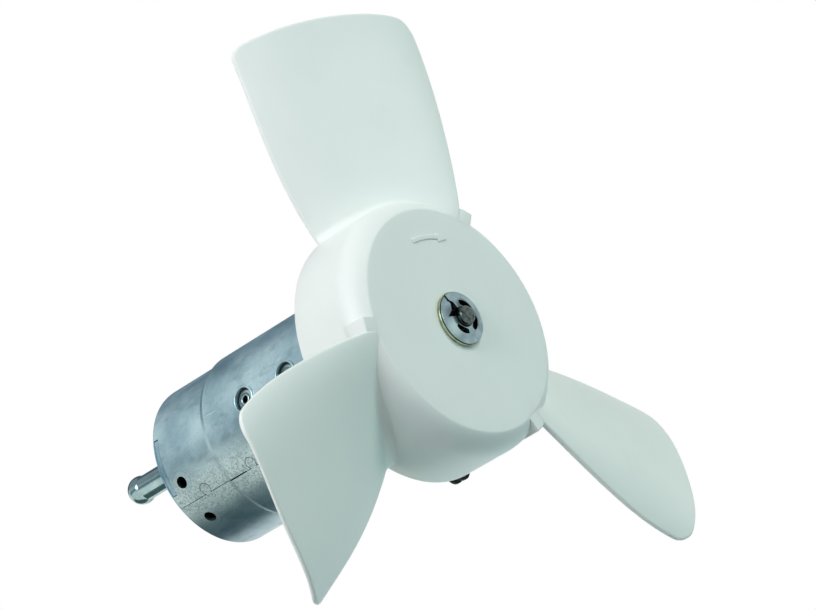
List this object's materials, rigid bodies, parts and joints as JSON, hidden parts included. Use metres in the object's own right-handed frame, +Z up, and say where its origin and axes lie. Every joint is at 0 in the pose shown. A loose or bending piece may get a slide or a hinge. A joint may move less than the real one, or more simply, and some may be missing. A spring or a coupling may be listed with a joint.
{
  "type": "cooling fan with motor",
  "caption": "Plastic axial cooling fan on the shaft of a rolled steel can motor, with washer, spring nut and vent spigot.",
  "frame": {"origin": "where the shaft's centre line crosses the mounting face of the front plate's ears", "axes": "+Y along the shaft from the fan to the rear of the motor, +Z up as in the picture, +X to the right seen from the fan's side"},
  "size_m": [0.2457, 0.1794, 0.2683],
  "materials": {
    "fan_plastic": "white moulded polypropylene, satin",
    "inner_plastic": "natural nylon, satin",
    "yellow_zinc": "steel plated with yellow zinc, dull",
    "dark_zinc": "spring steel, dull dark zinc",
    "shaft_steel": "oiled ground steel",
    "fibre": "hard paper fibre",
    "core_steel": "varnished electrical sheet",
    "copper": "enamelled copper",
    "moulding": "brown phenolic moulding",
    "can_zinc": "zinc plated sheet steel, mottled and dull",
    "plate_zinc": "zinc plated sheet steel",
    "bearing_bronze": "sintered bronze, oily",
    "spring_steel": "bright spring steel",
    "black_rubber": "soft black rubber",
    "ferrite": "dark grey ferrite ceramic",
    "eyelet_steel": "nickel plated steel",
    "brass_sheet": "brass sheet",
    "carbon": "copper graphite, matt"
  },
  "bodies": {
    "motor": {"motor_can": "can_zinc", "front_plate": "plate_zinc", "front_bearing": "bearing_bronze", "front_bearing_clip": "spring_steel", "lead_grommet": "black_rubber", "magnet_a": "ferrite", "magnet_b": "ferrite", "magnet_clip": "spring_steel", "side_bush_front": "black_rubber", "side_bush_rear": "black_rubber", "side_eyelet_front": "eyelet_steel", "side_eyelet_rear": "eyelet_steel", "brush_card": "moulding", "brush_holder_a": "brass_sheet", "brush_holder_b": "brass_sheet", "brush_a": "carbon", "brush_b": "carbon", "brush_spring_a": "spring_steel", "brush_spring_b": "spring_steel", "choke_coils": "copper", "rear_cap": "plate_zinc", "rear_bearing": "bearing_bronze", "rear_bearing_clip": "spring_steel", "thrust_pad": "inner_plastic", "vent_spigot": "can_zinc"},
    "rotor": {"fan": "fan_plastic", "flat_washer": "yellow_zinc", "spring_nut": "dark_zinc", "shaft": "shaft_steel", "drive_pin": "shaft_steel", "slinger": "inner_plastic", "thrust_collar": "shaft_steel", "front_thrust_washer": "fibre", "armature_core": "core_steel", "armature_windings": "copper", "commutator_hub": "moulding", "commutator_bars": "copper", "rear_thrust_washer": "fibre"}
  },
  "joints": [
    {"name": "fan_spin", "type": "hinge", "parent": "motor", "child": "rotor", "pos_m": [0, 0, 0], "axis": [0, 1, 0], "continuous": true}
  ]
}
